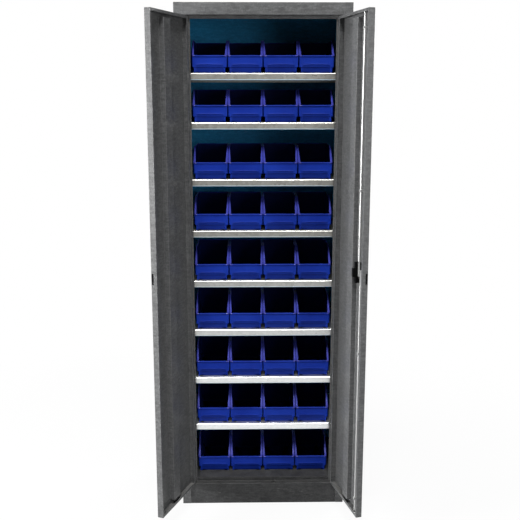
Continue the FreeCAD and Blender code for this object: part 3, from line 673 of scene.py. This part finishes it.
LOCK_INSET = 50.0  # from the lock's spindle to the edge of its door
EDGE_PLATE = (2.2, 0.5, 21.0)  # half sizes across, out of and along the door's edge
EDGE_PLATE_CORNER = 1.8
EDGE_PLATE_ARRIS = 0.35
EDGE_PLATE_IN = 7.1  # from the door's skin to the middle of the plate
EDGE_PLATE_DROP = 11.0  # its middle is this far below the spindle
MIRRORED = np.array([-1.0, 1.0, 1.0])


def rounded_slab(half_sizes, corner, arris):
    """A slab as rings of a rounded rectangle, drawn in by a quarter circle at both faces.

    Going round, the rectangle's corners are quarter circles; from face to face, the rings keep the arris's
    quarter circle.
    """
    across, out, along = half_sizes
    turn = np.radians(np.arange(0.0, 360.0, 15.0) + 7.5)
    middle_x = np.sign(np.cos(turn)) * (across - corner)
    middle_z = np.sign(np.sin(turn)) * (along - corner)
    lean = np.radians(np.linspace(0.0, 90.0, 5))
    drawn = arris * (1.0 - np.sin(lean))
    level = out - arris + arris * np.cos(lean)
    inset = np.concatenate([drawn, drawn[::-1]])
    height = np.concatenate([level, -level[::-1]])
    radius = corner - inset[:, None]
    x = middle_x + radius * np.cos(turn)
    z = middle_z + radius * np.sin(turn)
    return np.stack([x, np.broadcast_to(height[:, None], x.shape), z], axis=-1)


def turned(points, pivot, degrees):
    """Points turned about an upright axis through the pivot."""
    angle = math.radians(degrees)
    spin = np.array([[math.cos(angle), -math.sin(angle)], [math.sin(angle), math.cos(angle)]])
    result = points.copy()
    result[:, :2] = (points[:, :2] - pivot) @ spin.T + pivot
    return result


spindle_place = np.array(joints["handle_turn"]["pos_m"])
spindle_axis = np.array(joints["handle_turn"]["axis"])
right_pivot = np.array(joints["right_door_swing"]["pos_m"][:2])
left_pivot = np.array(joints["left_door_swing"]["pos_m"][:2])
right_open = -joints["right_door_swing"]["range_deg"][0]
left_open = -joints["left_door_swing"]["range_deg"][0]
shut_spindle = turned(spindle_place[None, :], right_pivot, -right_open)[0]
plate_rings = rounded_slab(EDGE_PLATE, EDGE_PLATE_CORNER, EDGE_PLATE_ARRIS)
plate_points = closed_rings(plate_rings)[:, [1, 0, 2]] * MM
plate_middle = shut_spindle + np.array([-LOCK_INSET, EDGE_PLATE_IN, -EDGE_PLATE_DROP]) * MM
right_plate = turned(plate_points + plate_middle, right_pivot, right_open)
left_plate = turned(plate_points + plate_middle * MIRRORED, left_pivot, -left_open)
plate_faces = ring_faces(*plate_rings.shape[:2])
mesh_piece("right_edge_plate", right_plate, plate_faces, black_plastic, "right_door", "black_plastic")
mesh_piece("left_edge_plate", left_plate, plate_faces, black_plastic, "left_door", "black_plastic")


# Handle, in millimetres from the spindle: inward from the door's skin, along the lever and up

LEVER_BACK = -13.0  # along the lever from the spindle
LEVER_END = 95.0
LEVER_HALF_WIDTH = 9.0
LEVER_HALF_THICKNESS = 3.5
LEVER_OUT = -9.8  # the lever's middle, measured inward from the door's skin
LEVER_POWER = 3.0  # how square the lever's section is
CROWN_END = 0.72  # the share of the lever's thickness that is left at its ends
BOSS_PROFILE = ((-0.3, 12.6), (-0.5, 13.0), (-3.0, 13.0), (-5.0, 11.6), (-6.0, 10.2), (-6.6, 10.0))
STEM_PROFILE = ((-5.0, 4.0), (-0.2, 4.0), (9.6, 4.0), (9.9, 3.8), (10.0, 3.5))
KEY_PROFILE = ((-12.6, 5.6), (-13.2, 5.6), (-13.35, 5.4), (-13.4, 5.1), (-13.25, 4.6), (-13.25, 0.6))
KEY_SLIT = (0.45, 0.12, 2.6)  # half sizes
KEY_SLIT_PLACE = np.array([-13.3, 0.0, 0.0])


def lathe(profile, count=40):
    """Rings of a turned piece: each is a circle of the given radius at the given place along the spindle."""
    place, radius = np.array(profile).T
    turn = np.linspace(0.0, FULL_TURN, count, endpoint=False)
    around = radius[:, None] * np.cos(turn)
    up = radius[:, None] * np.sin(turn)
    return np.stack([np.broadcast_to(place[:, None], around.shape), around, up], axis=-1)


def squared(wave):
    """A cosine or sine of a section's angle, drawn out to that of a rounded rectangle."""
    return np.sign(wave) * np.abs(wave) ** (2.0 / LEVER_POWER)


def lever_rings(count=32):
    """Rings along the lever: rounded rectangles that narrow towards the tip and close in half circles.

    With t from 0 to 1 along the lever, the half width is the full one times 1 minus a sixth of t squared.
    """
    t = 0.5 - 0.5 * np.cos(np.linspace(0.03, 0.97, 48) * math.pi)
    along = LEVER_BACK + (LEVER_END - LEVER_BACK) * t
    width = LEVER_HALF_WIDTH * (1.0 - t * t / 6.0)
    near_end = np.minimum(along - LEVER_BACK, LEVER_END - along)
    short = 1.0 - np.clip(near_end / LEVER_HALF_WIDTH, 0.0, 1.0)
    closing = np.sqrt(np.clip(1.0 - short**2, 0.0, 1.0))
    crown = CROWN_END + (1.0 - CROWN_END) * closing
    turn = np.linspace(0.0, FULL_TURN, count, endpoint=False)
    up = (width * closing)[:, None] * squared(np.cos(turn))
    out = LEVER_OUT + LEVER_HALF_THICKNESS * crown[:, None] * squared(np.sin(turn))
    return np.stack([out, np.broadcast_to(along[:, None], up.shape), up], axis=-1)


def handle_piece(name, parts, material, slot):
    """A piece on the handle made of several closed stacks of rings, turned to the spindle's directions."""
    directions = np.stack([spindle_axis, np.cross(spindle_axis, UP), UP])
    points = []
    faces = []
    start = 0
    for rings in parts:
        shell = closed_rings(rings)
        points.append(shell)
        faces += [[start + corner for corner in face] for face in ring_faces(*rings.shape[:2])]
        start += len(shell)
    placed = spindle_place + np.concatenate(points) @ directions * MM
    return mesh_piece(name, placed, faces, material, "lock_handle", slot)


lever_parts = [lathe(BOSS_PROFILE), lathe(STEM_PROFILE), lever_rings()]
lever = handle_piece("lever_handle", lever_parts, black_plastic, "black_plastic")
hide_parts("lock_handle")
handle_piece("key_cylinder", [lathe(KEY_PROFILE)], bright_zinc, "zinc_plate")
slit = rounded_slab(KEY_SLIT, 0.4, 0.05)[..., [1, 0, 2]] + KEY_SLIT_PLACE
handle_piece("key_slit", [slit], black_plastic, "black_plastic")


# Spot welds

WELD_PROFILE = ((-0.1, 3.9), (0.06, 3.6), (0.2, 2.9), (0.12, 2.0), (0.02, 0.8))  # height and radius
WELD_POINTS = 14  # round each ring of a weld
WELD_PITCH = 120.0
WELD_END = 60.0  # from the end of a row to its first weld
BACK_EDGE = 9.0  # from the back panel's edge to its welds
STIFFENER_FOOT = 12.0
STIFFENER_SHEET = 1.0
REARWARD = np.array([0.0, 1.0, 0.0])


def weld_row(start, end):
    """Places along a line, about the pitch apart, that leave the same length at both ends."""
    reach = end - start - 2.0 * WELD_END * MM
    count = 1 + round(reach / (WELD_PITCH * MM))
    return np.linspace(start + WELD_END * MM, end - WELD_END * MM, count)


def weld_spots(centres):
    """The points and faces of a shallow dished disc at each centre, looking to the rear.

    A disc is its profile turned about the rearward direction, and every centre gets a copy.
    """
    rings = lathe(WELD_PROFILE, WELD_POINTS)
    disc = closed_rings(rings) @ np.stack([REARWARD, np.cross(UP, REARWARD), UP]) * MM
    points = (centres[:, None, :] + disc[None, :, :]).reshape(-1, 3)
    faces = ring_faces(*rings.shape[:2])
    starts = np.arange(len(centres)) * len(disc)
    return points, [[int(start) + corner for corner in face] for start in starts for face in faces]


def grid_of(xs, y, zs):
    """Centres at every pairing of the places across and up, in one upright plane."""
    across, up = np.meshgrid(xs, zs, indexing="ij")
    return np.stack([across.ravel(), np.full(across.size, y), up.ravel()], axis=-1)


back_low, back_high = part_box("back_panel")
back_sides = np.array([back_low.x + BACK_EDGE * MM, back_high.x - BACK_EDGE * MM])
rear_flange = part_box("left_side_panel")[1].y
back_centres = grid_of(back_sides, rear_flange, weld_row(back_low.z, back_high.z))
mesh_piece("back_welds", *weld_spots(back_centres), grey_enamel, "carcass", "grey_paint")
for side, pivot, swing in (("left", left_pivot, -left_open), ("right", right_pivot, right_open)):
    corners = nodes[side + "_door_stiffener"].data.vertices
    open_points = np.empty(len(corners) * 3)
    corners.foreach_get("co", open_points)
    shut = turned(open_points.reshape(-1, 3), pivot, -swing)
    low = shut.min(axis=0)
    high = shut.max(axis=0)
    feet = np.array([low[0], high[0]]) + np.array([0.5, -0.5]) * STIFFENER_FOOT * MM
    centres = grid_of(feet, low[1] + STIFFENER_SHEET * MM, weld_row(low[2], high[2]))
    weld_points, weld_faces = weld_spots(centres)
    opened = turned(weld_points, pivot, swing)
    mesh_piece(side + "_door_welds", opened, weld_faces, grey_enamel, side + "_door", "grey_paint")


# Stage

WHITE = colour(1.0, 1.0, 1.0)
FLOOR_GREY = colour(0.4, 0.4, 0.4)
FLOOR_HALF = 12.0
BASE_HALF_WIDTH = 0.331
BASE_HALF_DEPTH = 0.209
FILL = 0.06  # how bright the surround is as light
LAMPS = (  # name, place, aim, size and watts
    ("rear", (3.0, 3.0, 2.0), (0.0, 0.0, 1.0), 1.6, 220.0),
    ("left", (-3.5, -1.7, 1.5), (0.3, -0.3, 1.0), 1.4, 425.0),
    ("right", (2.0, -3.0, 1.7), (-0.3, -0.3, 1.1), 1.4, 58.0),
    ("overhead", (-0.4, -5.0, 7.6), (0.0, -0.2, 0.8), 2.4, 980.0),
)
CAMERA_PLACE = (-0.0652, -3.2448, 1.6413)
CAMERA_LENS = 54.72
CAMERA_SENSOR = 36.0
CAMERA_DOWN = 11.337  # degrees below level
CAMERA_TURN = -0.989  # degrees about the upright


def seen_directly(tree):
    """1 for camera, mirror and glass rays, else 0; and 1 for camera rays alone, else 0."""
    path = tree.nodes.new("ShaderNodeLightPath").outputs
    seen = maths(tree, "MAXIMUM", path["Is Camera Ray"], path["Is Glossy Ray"])
    return maths(tree, "MAXIMUM", seen, path["Is Transmission Ray"]), path["Is Camera Ray"]


def pale_floor():
    """A pale floor: near white to the camera, bright near the cabinet in reflections, and shaded by it.

    Under the cabinet it gives off no light, so that holes in the base look dark.
    """
    material, tree, surface = empty_material("pale_floor")
    matt = add_node(tree, "ShaderNodeBsdfDiffuse", {"Color": FLOOR_GREY})
    place = tree.nodes.new("ShaderNodeTexCoord").outputs["Object"]
    split = axes(tree, place)
    away = add_node(tree, "ShaderNodeVectorMath", {0: place}, operation="LENGTH").outputs["Value"]
    across = maths(tree, "LESS_THAN", maths(tree, "ABSOLUTE", split["X"]), BASE_HALF_WIDTH)
    along = maths(tree, "LESS_THAN", maths(tree, "ABSOLUTE", split["Y"]), BASE_HALF_DEPTH)
    outside = maths(tree, "SUBTRACT", 1.0, product(tree, across, along))
    seen, camera_ray = seen_directly(tree)
    level = maths(tree, "MAXIMUM", span(tree, away, 1.6, 5.0, 1.0, 0.45), camera_ray)
    white = add_node(tree, "ShaderNodeEmission", {"Color": WHITE, "Strength": level})
    share = product(tree, product(tree, seen, outside), span(tree, away, 0.8, 2.2, 0.93, 1.0))
    inputs = {0: share, 1: matt.outputs["BSDF"], 2: white.outputs["Emission"]}
    mix = add_node(tree, "ShaderNodeMixShader", inputs)
    tree.links.new(mix.outputs["Shader"], surface)
    return material


def white_surround():
    """A world that is white to the camera, brighter overhead than level in reflections, and a low fill."""
    world = bpy.data.worlds.new("surround")
    bpy.context.scene.world = world
    world.use_nodes = True
    tree = world.node_tree
    tree.nodes.clear()
    output = tree.nodes.new("ShaderNodeOutputWorld")
    seen, camera_ray = seen_directly(tree)
    direction = axes(tree, tree.nodes.new("ShaderNodeTexCoord").outputs["Generated"])
    studio = span(tree, direction["Z"], 0.0, 0.7, 0.4, 1.0)
    reflected = maths(tree, "MAXIMUM", product(tree, seen, studio), camera_ray)
    unseen = product(tree, maths(tree, "SUBTRACT", 1.0, seen), FILL)
    strength = total(tree, reflected, unseen)
    back = add_node(tree, "ShaderNodeBackground", {"Color": WHITE, "Strength": strength})
    tree.links.new(back.outputs["Background"], output.inputs["Surface"])


def soft_lamp(name, place, aim, size, watts):
    """A square lamp turned to face a point."""
    lamp = bpy.data.lights.new(name, "AREA")
    lamp.shape = "SQUARE"
    lamp.size = size
    lamp.energy = watts
    lit = bpy.data.objects.new(name, lamp)
    lit.location = place
    away = np.array(aim) - np.array(place)
    flat = math.hypot(away[0], away[1])
    lit.rotation_euler = (math.atan2(flat, -away[2]), 0.0, math.atan2(away[1], away[0]) - math.pi / 2)
    bpy.context.scene.collection.objects.link(lit)


floor_corners = [(-1, -1, 0), (1, -1, 0), (1, 1, 0), (-1, 1, 0)]
floor_mesh = bpy.data.meshes.new("floor")
floor_mesh.from_pydata((np.array(floor_corners) * FLOOR_HALF).tolist(), [], [(0, 1, 2, 3)])
floor_mesh.materials.append(pale_floor())
floor = bpy.data.objects.new("floor", floor_mesh)
bpy.context.scene.collection.objects.link(floor)
white_surround()
for lamp_values in LAMPS:
    soft_lamp(*lamp_values)

camera = bpy.data.cameras.new("camera")
camera.sensor_width = CAMERA_SENSOR
camera.lens = CAMERA_LENS
viewer = bpy.data.objects.new("camera", camera)
viewer.location = CAMERA_PLACE
viewer.rotation_euler = (math.radians(90.0 - CAMERA_DOWN), 0.0, math.radians(CAMERA_TURN))
bpy.context.scene.collection.objects.link(viewer)
bpy.context.scene.camera = viewer
bpy.context.scene.view_settings.view_transform = "Standard"
